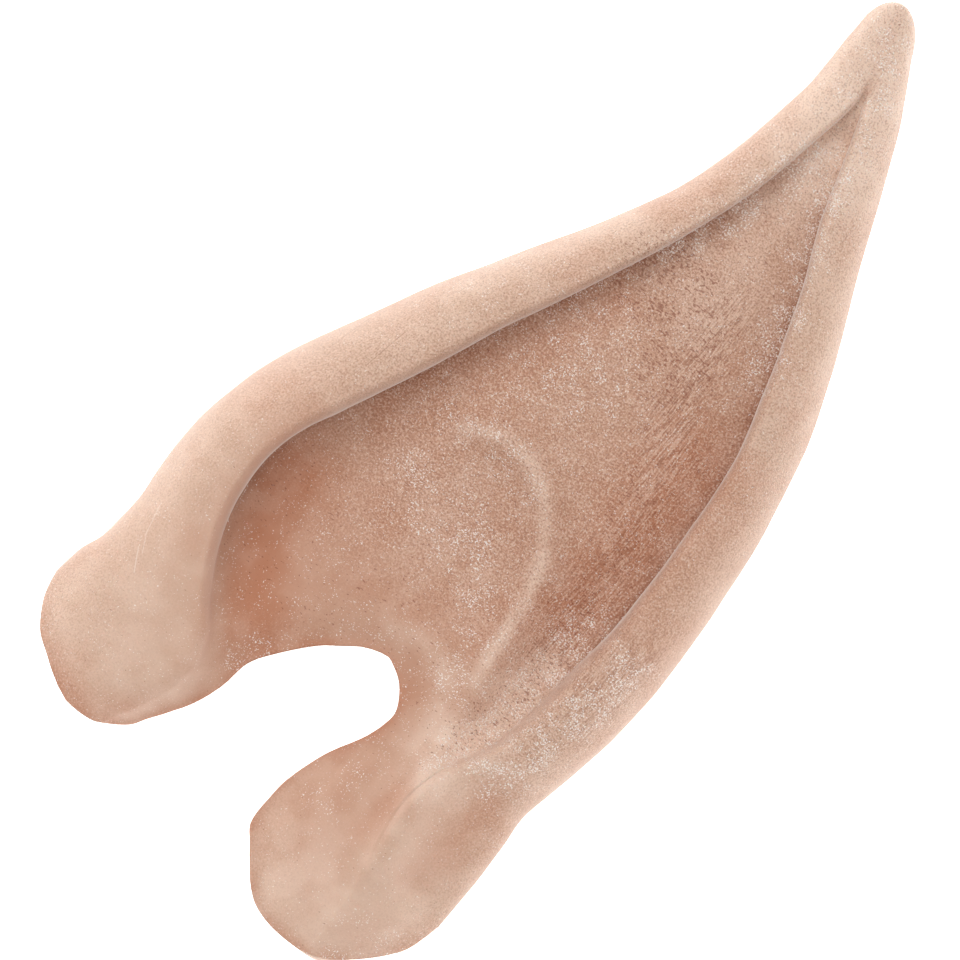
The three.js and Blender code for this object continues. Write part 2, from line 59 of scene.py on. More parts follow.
CREST_PLACE = 0.85  # a little nearer the crease than the CAD part's, for a crisper rim
RIMS_SHARE = 0.97
BACK_FLATNESS = 2.6
HOLLOW_SHARE = 0.82
TIP_SHARE = 0.03
TIP_START = 25
TIP_LEAN = -0.22
INNER_END_SHARE = 0.035
LEVEL_SHARE = 0.12
LEVELLED = 0.15
LEAST_RIM = 0.25
FOOT_SHARE = 0.65
BASE_OVERRUN = 0.04

MM = 0.001  # Blender works in metres

# How fine the two skins are
Steps = namedtuple("Steps", "rows end rim floor back")
OUTER_STEPS = Steps(rows=290, end=12, rim=34, floor=130, back=54)
INNER_STEPS = Steps(rows=100, end=6, rim=12, floor=40, back=24)
ROW_CROWDING = 1.15
CURVE_STEPS = 6
SNAP_DISTANCE = 0.02
LEAST_REACH = 0.01
LEAST_LENGTH = 1e-9

# at is a share of the length, left and right are shares of the width
Outline = namedtuple("Outline", "at left right")
OUTLINE = [
    Outline(0.0, -0.49, 0.464),
    Outline(0.09, -0.49, 0.464),
    Outline(0.13, -0.487, 0.463),
    Outline(0.15, -0.482, 0.463),
    Outline(0.17, -0.468, 0.461),
    Outline(0.19, -0.462, 0.459),
    Outline(0.22, -0.459, 0.454),
    Outline(0.25, -0.466, 0.464),
    Outline(0.28, -0.469, 0.475),
    Outline(0.32, -0.466, 0.487),
    Outline(0.36, -0.45, 0.492),
    Outline(0.4, -0.425, 0.492),
    Outline(0.45, -0.382, 0.486),
    Outline(0.5, -0.332, 0.474),
    Outline(0.55, -0.281, 0.46),
    Outline(0.6, -0.224, 0.437),
    Outline(0.65, -0.166, 0.41),
    Outline(0.7, -0.112, 0.37),
    Outline(0.75, -0.066, 0.322),
    Outline(0.8, -0.037, 0.274),
    Outline(0.85, -0.019, 0.23),
    Outline(0.89, -0.008, 0.194),
    Outline(0.915, -0.008, 0.17),
    Outline(0.94, -0.009, 0.142),
    Outline(0.97, -0.008, 0.106),
]

# width is a share of RIM_WIDTH, turn is in degrees past the crest, crest and floor are shares of
# BODY_DEPTH
Rim = namedtuple("Rim", "at width turn crest floor")
LEFT_RIM = [
    Rim(0.0, 1.6, 50, 0.84, 0.8),
    Rim(0.05, 1.8, 50, 0.88, 0.835),
    Rim(0.08, 2.03, 50, 0.9, 0.85),
    Rim(0.11, 2.19, 52, 0.915, 0.855),
    Rim(0.13, 2.19, 55, 0.925, 0.85),
    Rim(0.15, 2.1, 58, 0.935, 0.835),
    Rim(0.17, 1.88, 62, 0.945, 0.8),
    Rim(0.19, 1.6, 66, 0.955, 0.75),
    Rim(0.22, 1.29, 74, 0.96, 0.68),
    Rim(0.25, 1.14, 86, 0.96, 0.62),
    Rim(0.28, 1.05, 100, 0.955, 0.575),
    Rim(0.32, 0.99, 115, 0.945, 0.56),
    Rim(0.36, 0.99, 125, 0.93, 0.565),
    Rim(0.4, 1.06, 130, 0.91, 0.57),
    Rim(0.45, 1.09, 135, 0.88, 0.57),
    Rim(0.5, 1.03, 135, 0.84, 0.565),
    Rim(0.55, 0.96, 135, 0.805, 0.55),
    Rim(0.6, 0.87, 135, 0.77, 0.535),
    Rim(0.65, 0.78, 135, 0.735, 0.515),
    Rim(0.7, 0.69, 135, 0.7, 0.495),
    Rim(0.75, 0.62, 135, 0.665, 0.48),
    Rim(0.8, 0.6, 132, 0.63, 0.465),
    Rim(0.85, 0.6, 125, 0.595, 0.455),
    Rim(0.89, 0.61, 110, 0.565, 0.47),
    Rim(0.915, 0.62, 75, 0.548, 0.5),
    Rim(0.94, 0.55, 30, 0.528, 0.525),
    Rim(0.97, 0.36, 15, 0.5, 0.498),
]
RIGHT_RIM = [
    Rim(0.0, 1.2, 18, 0.606, 0.602),
    Rim(0.05, 1.25, 18, 0.64, 0.635),
    Rim(0.08, 1.3, 20, 0.657, 0.649),
    Rim(0.11, 1.38, 24, 0.676, 0.656),
    Rim(0.13, 1.44, 28, 0.693, 0.658),
    Rim(0.15, 1.48, 32, 0.713, 0.66),
    Rim(0.17, 1.46, 36, 0.732, 0.655),
    Rim(0.19, 1.38, 41, 0.745, 0.645),
    Rim(0.22, 1.18, 48, 0.76, 0.625),
    Rim(0.25, 1.0, 55, 0.775, 0.6),
    Rim(0.28, 0.98, 62, 0.79, 0.575),
    Rim(0.32, 0.99, 72, 0.805, 0.555),
    Rim(0.36, 0.98, 85, 0.81, 0.545),
    Rim(0.4, 0.93, 105, 0.81, 0.54),
    Rim(0.45, 0.91, 125, 0.8, 0.54),
    Rim(0.5, 0.88, 132, 0.79, 0.535),
    Rim(0.55, 0.84, 135, 0.77, 0.52),
    Rim(0.6, 0.8, 135, 0.745, 0.51),
    Rim(0.65, 0.83, 135, 0.715, 0.495),
    Rim(0.7, 0.8, 135, 0.685, 0.48),
    Rim(0.75, 0.72, 135, 0.65, 0.465),
    Rim(0.8, 0.71, 132, 0.615, 0.455),
    Rim(0.85, 0.65, 125, 0.585, 0.45),
    Rim(0.89, 0.6, 110, 0.56, 0.468),
    Rim(0.915, 0.58, 75, 0.545, 0.5),
    Rim(0.94, 0.44, 30, 0.527, 0.525),
    Rim(0.97, 0.36, 15, 0.5, 0.498),
]

# floor and back are shares of BODY_DEPTH, side of SIDE_HEIGHT
Bed = namedtuple("Bed", "at floor back side")
BED = [
    Bed(0.0, 0.54, 0.0, 1.0),
    Bed(0.08, 0.555, 0.0, 1.0),
    Bed(0.15, 0.57, 0.0, 1.0),
    Bed(0.22, 0.585, 0.0, 1.0),
    Bed(0.3, 0.6, 0.0, 1.0),
    Bed(0.38, 0.605, 0.0, 0.98),
    Bed(0.45, 0.6, 0.0, 0.95),
    Bed(0.5, 0.59, 0.005, 0.93),
    Bed(0.6, 0.555, 0.022, 0.91),
    Bed(0.7, 0.51, 0.052, 0.89),
    Bed(0.8, 0.475, 0.1, 0.87),
    Bed(0.85, 0.46, 0.13, 0.865),
    Bed(0.89, 0.468, 0.158, 0.86),
    Bed(0.915, 0.5, 0.175, 0.86),
    Bed(0.94, 0.53, 0.193, 0.86),
    Bed(0.97, 0.505, 0.215, 0.86),
]

# The trimmed edges. across is a share of EAR_WIDTH, along of the notch's or the arch's depth
Cut = namedtuple("Cut", "across along")
FRONT_EDGE = [
    Cut(-0.49, 0.495),
    Cut(-0.477, 0.391),
    Cut(-0.443, 0.288),
    Cut(-0.404, 0.235),
    Cut(-0.364, 0.188),
    Cut(-0.318, 0.153),
    Cut(-0.269, 0.156),
    Cut(-0.242, 0.179),
    Cut(-0.205, 0.231),
    Cut(-0.188, 0.284),
    Cut(-0.167, 0.345),
    Cut(-0.139, 0.441),
    Cut(-0.121, 0.55),
    Cut(-0.112, 0.664),
    Cut(-0.08, 0.764),
    Cut(-0.035, 0.87),
    Cut(0.0, 0.926),
    Cut(0.033, 0.974),
    Cut(0.07, 1.0),
    Cut(0.092, 0.99),
    Cut(0.124, 0.95),
    Cut(0.15, 0.872),
    Cut(0.148, 0.8),
    Cut(0.134, 0.718),
    Cut(0.113, 0.64),
    Cut(0.097, 0.568),
    Cut(0.079, 0.444),
    Cut(0.075, 0.355),
    Cut(0.077, 0.242),
    Cut(0.101, 0.178),
    Cut(0.124, 0.124),
    Cut(0.152, 0.064),
    Cut(0.185, 0.021),
    Cut(0.234, 0.0),
    Cut(0.293, 0.004),
    Cut(0.344, 0.043),
    Cut(0.395, 0.124),
    Cut(0.441, 0.231),
    Cut(0.457, 0.32),
    Cut(0.463, 0.38),
]
BACK_EDGE = [
    Cut(-0.49, 0.402),
    Cut(-0.448, 0.54),
    Cut(-0.348, 0.7),
    Cut(-0.202, 0.87),
    Cut(-0.02, 0.99),
    Cut(0.09, 1.0),
    Cut(0.217, 0.9),
    Cut(0.326, 0.67),
    Cut(0.408, 0.43),
    Cut(0.463, 0.309),
]

# A soft brush stroke on the front. amount is a height in millimetres or a share of paint. It fades
# over reach, a share of EAR_WIDTH, and comes up from nothing over fade_in, a share of its path. The
# path is of (across, along) shares of EAR_WIDTH and EAR_LENGTH.
Stroke = namedtuple("Stroke", "name amount reach fade_in path")

# Ridges and hollows
RELIEF = [
    Stroke("curved_ridge", RIDGE_HEIGHT, 0.036, 0.12, [
        (-0.113, 0.45), (-0.004, 0.472), (0.106, 0.454), (0.189, 0.396),
        (0.22, 0.324), (0.247, 0.252), (0.276, 0.18), (0.308, 0.117),
    ]),
    Stroke("bowl", -0.9 * RIDGE_HEIGHT, 0.14, 0, [(-0.16, 0.3), (-0.1, 0.36), (0.05, 0.36)]),
    Stroke("bowl_lip", 0.35 * RIDGE_HEIGHT, 0.03, 0.4, [
        (-0.04, 0.26), (0.07, 0.285), (0.16, 0.28), (0.2, 0.235),
    ]),
    Stroke("groove", -0.8 * RIDGE_HEIGHT, 0.05, 0.55, [
        (0.28, 0.6), (0.3, 0.5), (0.305, 0.42), (0.303, 0.36), (0.297, 0.3), (0.283, 0.235),
    ]),
    Stroke("back_valley", -RIDGE_HEIGHT, 0.05, 0, [(0.385, 0.21), (0.39, 0.16), (0.38, 0.12)]),
    Stroke("back_lobe", LOBE_RISE, 0.15, 0, [(0.26, 0.14), (0.25, 0.07)]),
]

# Where it is more orange: partly the latex's own warmer tone, partly painted shade in hollows,
# beside creases and where the surface turns away
ORANGE_AND_SHADE = [
    Stroke("front_lobe_strip", 0.15, 0.027, 0.2, [
        (-0.296, 0.27), (-0.25, 0.225), (-0.195, 0.189), (-0.141, 0.162),
        (-0.141, 0.126), (-0.177, 0.086), (-0.232, 0.056),
    ]),
    Stroke("bowl_corner", 1.0, 0.075, 0, [
        (-0.268, 0.324), (-0.25, 0.27), (-0.195, 0.225), (-0.131, 0.198),
    ]),
    Stroke("behind_ridge", 0.5, 0.028, 0.3, [
        (0.212, 0.288), (0.234, 0.243), (0.248, 0.198), (0.252, 0.153), (0.243, 0.117),
    ]),
    Stroke("back_lobe_side", 0.3, 0.075, 0, [(0.179, 0.16), (0.188, 0.108), (0.224, 0.07)]),
    Stroke("front_rim", 0.4, 0.05, 0.2, [(-0.12, 0.7), (-0.03, 0.79), (0.02, 0.88)]),
    Stroke("back_rim", 0.4, 0.07, 0.2, [(0.36, 0.62), (0.4, 0.52), (0.42, 0.42)]),
    Stroke("front_floor", 0.45, 0.05, 0.1, [(0.0, 0.66), (-0.08, 0.57), (-0.16, 0.49), (-0.22, 0.42)]),
    Stroke("bowl", 0.35, 0.13, 0, [(-0.1, 0.36), (0.0, 0.38), (0.1, 0.34)]),
    # painted shade where the lobe's bottom edge turns away
    Stroke("front_lobe_end", 0.5, 0.03, 0, [(-0.39, 0.058), (-0.31, 0.046), (-0.23, 0.062)]),
    # painted shade where the floor slopes away beside the back rim's crease
    Stroke("back_floor", 0.95, 0.085, 0.2, [
        (0.24, 0.62), (0.27, 0.54), (0.28, 0.468), (0.28, 0.4), (0.27, 0.35),
    ]),
    Stroke("front_lobe_flap", 0.9, 0.018, 0, [(-0.487, 0.125), (-0.478, 0.145), (-0.462, 0.165)]),
    Stroke("back_valley", 0.6, 0.042, 0, [(0.389, 0.207), (0.389, 0.162), (0.37, 0.117)]),
]

# Where it is paler: painted highlights on the curved ridge, the back rim's foot, the front lobe's
# brink, the notch's lip, the tip and the sides turned to the light, and elsewhere paler latex
PALE_AND_HIGHLIGHT = [
    Stroke("curved_ridge", 0.6, 0.016, 0.12, [
        (-0.113, 0.45), (-0.058, 0.463), (-0.004, 0.472), (0.05, 0.469), (0.106, 0.454),
        (0.151, 0.427), (0.188, 0.396), (0.212, 0.333), (0.224, 0.288),
    ]),
    Stroke("back_rim_foot", 0.3, 0.016, 0.2, [
        (0.234, 0.252), (0.252, 0.225), (0.265, 0.198), (0.276, 0.162), (0.286, 0.14),
    ]),
    Stroke("front_lobe_brink_highlight", 0.25, 0.016, 0.2, [
        (-0.31, 0.27), (-0.27, 0.218), (-0.237, 0.193), (-0.2, 0.175), (-0.178, 0.158),
        (-0.173, 0.135), (-0.177, 0.108), (-0.195, 0.081), (-0.223, 0.063), (-0.296, 0.056),
    ]),
    # painted highlight over the tip
    Stroke("tip", 2.4, 0.16, 0, [(0.05, 0.99), (0.09, 0.92)]),
    Stroke("upper_floor", 0.3, 0.1, 0, [(0.1, 0.82), (0.1, 0.7)]),
    Stroke("notch_lip", 0.4, 0.022, 0.3, [
        (-0.04, 0.261), (0.069, 0.279), (0.161, 0.279), (0.206, 0.252), (0.22, 0.21),
    ]),
    Stroke("bowl", 0.2, 0.1, 0, [(-0.02, 0.4), (0.03, 0.37), (0.09, 0.36)]),
    Stroke("front_lobe", 0.2, 0.11, 0, [(-0.34, 0.16), (-0.28, 0.11)]),
    Stroke("groove", 1.0, 0.05, 0.3, [(0.3, 0.38), (0.297, 0.32), (0.285, 0.25), (0.27, 0.2)]),
    # painted highlights on the sides turned to the light
    Stroke("front_side", 0.9, 0.03, 0.2, [(-0.3, 0.53), (-0.22, 0.6), (-0.15, 0.67), (-0.12, 0.7)]),
    Stroke("back_side", 0.9, 0.035, 0.2, [(0.44, 0.6), (0.39, 0.69), (0.32, 0.77), (0.24, 0.85)]),
    Stroke("back_lobe", 0.5, 0.1, 0, [(0.4, 0.08), (0.34, 0.05), (0.24, 0.05)]),
]

# Where its grain is coarser, or finer where the amount is below 0
GRAINY = [
    Stroke("upper_floor", 0.2, 0.14, 0, [(0.08, 0.84), (0.1, 0.74), (0.1, 0.62), (0.18, 0.5)]),
    Stroke("groove", 0.1, 0.06, 0, [(0.28, 0.52), (0.31, 0.4), (0.297, 0.27), (0.27, 0.216)]),
    Stroke("back_rim", 0.6, 0.06, 0.1, [(0.43, 0.41), (0.42, 0.34), (0.4, 0.28)]),
    Stroke("bowl_corner", -0.7, 0.13, 0, [(-0.27, 0.32), (-0.2, 0.26), (-0.05, 0.27), (0.15, 0.26)]),
    Stroke("front_lobe", -0.7, 0.24, 0, [(-0.34, 0.16), (-0.24, 0.12)]),
    Stroke("back_lobe", -0.75, 0.24, 0, [(0.2, 0.14), (0.3, 0.06), (0.36, 0.12)]),
]

# Where talc clings in white flecks
POWDERED = [
    Stroke("groove", 0.6, 0.035, 0.2, [(0.3, 0.42), (0.31, 0.36), (0.297, 0.27), (0.27, 0.216)]),
    Stroke("back_rim", 0.7, 0.055, 0.1, [(0.43, 0.41), (0.42, 0.34), (0.4, 0.28), (0.38, 0.24)]),
    Stroke("tip", 0.35, 0.12, 0, [(0.05, 0.99), (0.09, 0.92)]),
    Stroke("front_side", 0.3, 0.04, 0.2, [(-0.32, 0.48), (-0.2, 0.62), (-0.1, 0.73), (-0.01, 0.84)]),
    Stroke("back_crease", 0.9, 0.03, 0, [(0.14, 0.84), (0.2, 0.76), (0.25, 0.7), (0.27, 0.66)]),
    Stroke("front_crease", 0.8, 0.03, 0, [(0.08, 0.84), (0.04, 0.76), (0.0, 0.7)]),
    Stroke("floor_front", 0.25, 0.08, 0, [(-0.02, 0.62), (-0.08, 0.56), (-0.05, 0.54), (0.05, 0.57)]),
    Stroke("bowl_top", 0.25, 0.05, 0, [(-0.12, 0.45), (-0.02, 0.46), (0.06, 0.45)]),
    Stroke("bowl_middle", 0.25, 0.05, 0, [(-0.12, 0.4), (-0.06, 0.378), (0.02, 0.382)]),
    Stroke("bowl_back", 0.25, 0.07, 0, [(0.06, 0.37), (0.15, 0.33), (0.18, 0.28)]),
    Stroke("notch_corner", 0.9, 0.022, 0, [(-0.13, 0.165), (-0.115, 0.185)]),
    Stroke("back_lobe_side", 0.3, 0.03, 0, [(0.15, 0.12), (0.17, 0.15)]),
    Stroke("back_lobe_end", 0.2, 0.06, 0, [(0.42, 0.06), (0.36, 0.03)]),
]

# Where short dark pits lie
PITTED = [
    Stroke("upper_floor", 1.0, 0.07, 0, [(-0.02, 0.68), (0.08, 0.66), (0.13, 0.62)]),
    Stroke("groove", 0.3, 0.05, 0, [(0.2, 0.52), (0.27, 0.46), (0.29, 0.38), (0.3, 0.3), (0.28, 0.24)]),
]

# Where it is combed with fine lines along the ear
COMBED = [
    Stroke("upper_floor", 1.0, 0.05, 0, [(0.16, 0.69), (0.17, 0.63), (0.2, 0.57)]),
    Stroke("groove", 0.8, 0.07, 0, [(0.24, 0.55), (0.28, 0.46), (0.29, 0.36)]),
    Stroke("back_rim", 0.8, 0.055, 0, [(0.43, 0.4), (0.42, 0.32)]),
    Stroke("front_rim", 0.4, 0.06, 0, [(-0.3, 0.5), (-0.36, 0.42)]),
]

# Fine scratches and mould lines, from place to place in the same shares, width in millimetres
Line = namedtuple("Line", "start end width")
SCRATCHES = [
    Line((-0.42, 0.229), (-0.405, 0.2), 0.12),
    Line((-0.405, 0.2), (-0.387, 0.184), 0.1),
    Line((-0.4, 0.186), (-0.376, 0.166), 0.16),
]
MOULD_LINES = [
    Line((-0.295, 0.441), (-0.28, 0.486), 0.12),
    Line((-0.368, 0.432), (-0.332, 0.504), 0.12),
]

# How far round a rim is rolled, in degrees, before painted shade darkens the crease under it, and the
# angle past its crest where the painted highlight on its brink is palest, with how far that fades. How
# far the painted shade in the crease and the orange along the trimmed edge reach, in millimetres.
TUCKED_TURN = (60, 110)
BRINK_HIGHLIGHT = (80, 20)
CREASE_SHADE_REACH = 0.9
CUT_REACH = 1.1
TRIMMED_SHARE = 0.45  # of the length: no trimmed edge reaches farther up
FLOOR_FADE = (0.12, 0.25)  # shares of the length between which the floor's colour comes in

# Uneven casting: size in millimetres from one swell to the next, and how far the skin moves
Swell = namedtuple("Swell", "size height")
SWELLS = [Swell(9.0, 0.16), Swell(2.6, 0.035)]

# The photo's frame: its size in pixels, the pixel of the ear's middle, its millimetres per pixel
# and how far the ear's tip leans clockwise from straight up
FRAME_PIXELS = 960
MIDDLE_PIXEL = (533.4, 420.7)
MM_PER_PIXEL = 0.108
TIP_TURN = 40
LENS = 600
SENSOR = 36
SIGHT = (0.01, 10)  # metres from the camera between which it sees

# The stage and its light, in metres and watts
FLOOR_SIZE = 3.0
FLOOR_GAP = 0.0002  # keeps the ear's lowest points clear of the floor
TABLE_LIGHT = 1.15
TABLE_COLOUR = (0.9, 0.9, 0.9, 1)
TABLE_ROUGHNESS = 0.8
ROOM_LIGHT = 0.66
Lamp = namedtuple("Lamp", "name place size power")
LAMPS = [
    Lamp("key", (-0.6, 0.15, 0.85), 0.5, 3.4),
    Lamp("fill", (0.7, 0.5, 0.6), 0.6, 1.2),
]


def tone(red, green, blue):
    """A colour as the eye reads it, 0 to 255, in the linear light that shaders use."""
    shares = [value / 255 for value in (red, green, blue)]
    return (*[v / 12.92 if v <= 0.04045 else ((v + 0.055) / 1.055) ** 2.4 for v in shares], 1)


# The latex's colours, with tones for painted shade and painted highlights among them
TONES = {
    "flesh": tone(210, 174, 151),
    "rosy": tone(206, 164, 140),
    "floor": tone(189, 138, 111),
    # partly the latex's own orange, partly painted shade in hollows
    "orange_and_shade": tone(184, 114, 78),
    # painted shade for the creases under tucked rims
    "crease_shade": tone(150, 98, 74),
    "deep": tone(140, 86, 62),
    # paler latex and grain, also used for painted highlights
    "pale_and_highlight": tone(236, 207, 187),
    "pit": tone(134, 72, 50),
    # the talc's white, also used for the painted highlight on the rims' brinks
    "powder_and_highlight": tone(252, 244, 238),
    "inside": tone(206, 172, 146),
}

# The colour's layers, each laid over those before it: its tone, the paint layer or fine mark that
# says where it is, and how well it covers between the patches and on them
Layer = namedtuple("Layer", "tone mark least most")
LAYERS = [
    Layer("rosy", "blotched", 1, 1),
    Layer("floor", "floor", 0.6, 0.95),
    # partly the latex's own orange, partly painted shade in hollows and beside creases
    Layer("orange_and_shade", "orange_and_shade", 0.7, 1),
    Layer("orange_and_shade", "cut", 0.5, 0.5),
    # painted shade in the creases under tucked rims
    Layer("crease_shade", "crease_shade", 0.85, 0.85),
    # paler latex and painted highlights
    Layer("pale_and_highlight", "pale_and_highlight", 0.7, 1),
    Layer("pale_and_highlight", "patchy", 0.25, 0.25),
    # painted highlight along the brinks of tucked rims
    Layer("powder_and_highlight", "brink_highlight", 0.75, 0.75),
    Layer("deep", "dark_grain", 0.4, 0.4),
    Layer("pale_and_highlight", "light_grain", 0.55, 0.55),
    Layer("deep", "dark_lines", 0.45, 0.45),
    Layer("pale_and_highlight", "light_lines", 0.35, 0.35),
    Layer("pit", "pits", 0.6, 0.6),
    Layer("deep", "mould_lines", 0.45, 0.45),
    Layer("powder_and_highlight", "talc", 0.8, 0.8),
    Layer("powder_and_highlight", "scratches", 0.4, 0.4),
    Layer("inside", "inside", 0.5, 0.9),
]

# Its surface. Sizes are in millimetres from one blotch to the next, and heights are in millimetres.
# Limits are values of a noise, which swings around 0.5.
BLOTCH_SIZE = 11.0
PATCH_SIZE = 3.2
CLOUD_STEPS = (1, 2, 3)  # how much each finer noise fades, how much finer it is, how many there are
CLOUD_LIMITS = (-0.5, 0.5)
GRAIN_SIZE = 0.21
FLECK_SIZE = 0.17
CLUSTER_SIZE = 1.9
CLUSTER_LIMITS = (0.35, 0.65)
CLUSTERED = (0.5, 1)  # share of the specks that stay, outside the clusters and in them
PIT_SIZE = 0.22
PIT_STRETCH = (0.5, 1, 1)  # longer across the ear
COMB_SIZE = 0.17
COMB_STRETCH = (1, 0.08, 1)  # longer along it
FINE_DETAIL = 2
PLAIN_DETAIL = 1
DARK_GRAIN = (0.5, 0.34)
LIGHT_GRAIN = (0.5, 0.66)
DARK_LINES = (0.5, 0.35)
LIGHT_LINES = (0.5, 0.65)
GLOSS_GRAIN = (0.3, 0.7)
LEAST_GRAIN = 0.9  # on the rims
FLOOR_GRAIN = 0.1  # what the floor adds to it
LEAST_TALC = 0.42  # anywhere
FLOOR_TALC = 0.08
LEAST_PITS = 0.1  # anywhere
FLOOR_PITS = 0.35
SPECK_LIMITS = (0.76, 0.56)  # the noise above which a speck lies, where specks are rare and thick
SPECK_EDGE = 0.03
GRAIN_HEIGHTS = (0.015, 0.11)
COMB_HEIGHT = 0.04
LINE_CORE = 0.3  # share of a line's half width inside which it is at full strength
ROUGHNESS = (0.5, 0.75)
SKIN_DEPTH_SHARE = 0.1
SKIN_DEPTH = 1.2
SKIN_RADIUS = (1, 0.45, 0.25)  # how far red, green and blue light go in, against each other
SPECULAR = 0.35
SHEEN = 0.2
SHEEN_ROUGHNESS = 0.45


def column(rows, name, at):
    """A table's column at any places along it, on a smooth curve through the rows."""
    places = np.array([row.at for row in rows])
    values = np.array([getattr(row, name) for row in rows], float)
    slopes = np.gradient(values)
    slopes[1:-1] = (values[2:] - values[:-2]) / (places[2:] - places[:-2])
    slopes[0] = (values[1] - values[0]) / (places[1] - places[0])
    slopes[-1] = (values[-1] - values[-2]) / (places[-1] - places[-2])
    at = np.clip(at, places[0], places[-1])
    i = np.clip(np.searchsorted(places, at, side="right") - 1, 0, len(places) - 2)
    step = places[i + 1] - places[i]
    t = (at - places[i]) / step
    return (
        values[i] * (1 + 2 * t) * (1 - t) ** 2
        + slopes[i] * step * t * (1 - t) ** 2
        + values[i + 1] * t * t * (3 - 2 * t)
        + slopes[i + 1] * step * t * t * (t - 1)
    )


def lengthwise(at):
    """A share along the length as a y, with the middle of the length at 0."""
    return (at - 0.5) * EAR_LENGTH


def smooth_line(points):
    """Points on a smooth curve through the given points."""
    points = np.array(points, float)
    last = len(points) - 1
    line = []
    for i in range(last):
        before, here = points[max(i - 1, 0)], points[i]
        there, after = points[i + 1], points[min(i + 2, last)]
        out, into = (there - before) / 2, (after - here) / 2
        for t in np.arange(CURVE_STEPS) / CURVE_STEPS:
            line.append(
                (2 * here - 2 * there + out + into) * t**3
                + (3 * there - 3 * here - 2 * out - into) * t**2
                + out * t
                + here
            )
    return np.array([*line, points[-1]])


def edge_line(rows, depth):
    """A trimmed edge's points in millimetres."""
    return smooth_line([(row.across * EAR_WIDTH, lengthwise(0) + row.along * depth) for row in rows])


FRONT_LINE = edge_line(FRONT_EDGE, NOTCH_DEPTH)
BACK_LINE = edge_line(BACK_EDGE, NOTCH_DEPTH + ARCH_MARGIN)


def nearest_on(line, x, y):
    """The shortest distance from each point to a run of points, and the share of the run there."""
    away = np.full(x.shape, np.inf)
    share = np.zeros(x.shape)
    for i, (a, b) in enumerate(zip(line[:-1], line[1:])):
        run = b - a
        t = np.clip(((x - a[0]) * run[0] + (y - a[1]) * run[1]) / (run @ run), 0, 1)
        distance = np.hypot(a[0] + t * run[0] - x, a[1] + t * run[1] - y)
        share = np.where(distance < away, (i + t) / (len(line) - 1), share)
        away = np.minimum(away, distance)
    return away, share


def smoothstep(low, high, value):
    """0 up to low, 1 from high on and smooth between them."""
    t = np.clip((value - low) / (high - low), 0, 1)
    return t * t * (3 - 2 * t)


def brushed(strokes, x, y):
    """The sum of some strokes at each point."""
    total = np.zeros(x.shape)
    for stroke in strokes:
        line = smooth_line([(across * EAR_WIDTH, lengthwise(along)) for across, along in stroke.path])
        away, share = nearest_on(line, x, y)
        strength = smoothstep(0, stroke.fade_in, share) if stroke.fade_in > 0 else 1
        total += stroke.amount * strength * np.exp(-((away / (stroke.reach * EAR_WIDTH)) ** 2))
    return total


def relief(x, y):
    """How far the strokes and the roll at the trimmed edge raise the front."""
    away, _ = nearest_on(FRONT_LINE, x, y)
    return brushed(RELIEF, x, y) - EDGE_ROLL * np.exp(-((away / EDGE_REACH) ** 2))


def rim_fit(at):
    """What share of their own widths the rims have: they share the outline where it is narrow."""
    room = (column(OUTLINE, "right", at) - column(OUTLINE, "left", at)) * EAR_WIDTH
    wanted = (column(LEFT_RIM, "width", at) + column(RIGHT_RIM, "width", at)) * RIM_WIDTH
    return np.minimum(1, RIMS_SHARE * room / wanted)


def rim_at(rows, at, inset):
    """One rim's sizes at each section. The hollow's rim stays a wall's thickness inside the outer
    one, stands upright where that is tucked under, and levels out towards the hollow's end."""
    turn = np.radians(column(rows, "turn", at))
    width = column(rows, "width", at) * RIM_WIDTH * rim_fit(at)
    crest = column(rows, "crest", at) * BODY_DEPTH - inset
    floor = column(rows, "floor", at) * BODY_DEPTH - inset
    if inset > 0:
        tucked = np.where(turn > math.pi / 2, (1 - CREST_PLACE) * (1 - np.sin(turn)), 0)
        width = np.maximum(width * (1 - tucked) - 2 * inset, LEAST_RIM * width)
        turn = np.minimum(turn, math.pi / 2)
        end = HOLLOW_SHARE - INNER_END_SHARE
        standing = 1 + (LEVELLED - 1) * smoothstep(end - LEVEL_SHARE, end, at)
        crest = floor + (crest - floor) * standing
    lying = np.maximum(0, np.cos(turn))
    return {
        "turn": turn,
        "outside": width * CREST_PLACE,
        "inside": width * (1 - CREST_PLACE),
        "crest": crest,
        "floor": floor,
        "drop": (crest - floor) * (1 - FOOT_SHARE * lying) / (1 - np.cos(turn)),
    }


def rim_points(rim, side, share):
    """A rim's roll over its crest: distance in from the side, and height."""
    angle = share * (math.pi / 2 + rim["turn"][:, None]) - math.pi / 2
    outside, inside = rim["outside"][:, None], rim["inside"][:, None]
    crest, side, drop = rim["crest"][:, None], side[:, None], rim["drop"][:, None]
    before = angle <= 0
    across = np.where(before, outside * (1 + np.sin(angle)), outside + inside * np.sin(angle))
    height = np.where(
        before, side + (crest - side) * np.cos(angle), crest - drop * (1 - np.cos(angle))
    )
    return across, height


def rim_foot(rim):
    """What is left to fall from the end of a rim's roll to the floor, and over what distance."""
    height = rim["crest"] - rim["drop"] * (1 - np.cos(rim["turn"])) - rim["floor"]
    slope = rim["drop"] / rim["inside"] * np.abs(np.tan(rim["turn"]))
    return height, np.maximum(height / slope, LEAST_REACH)


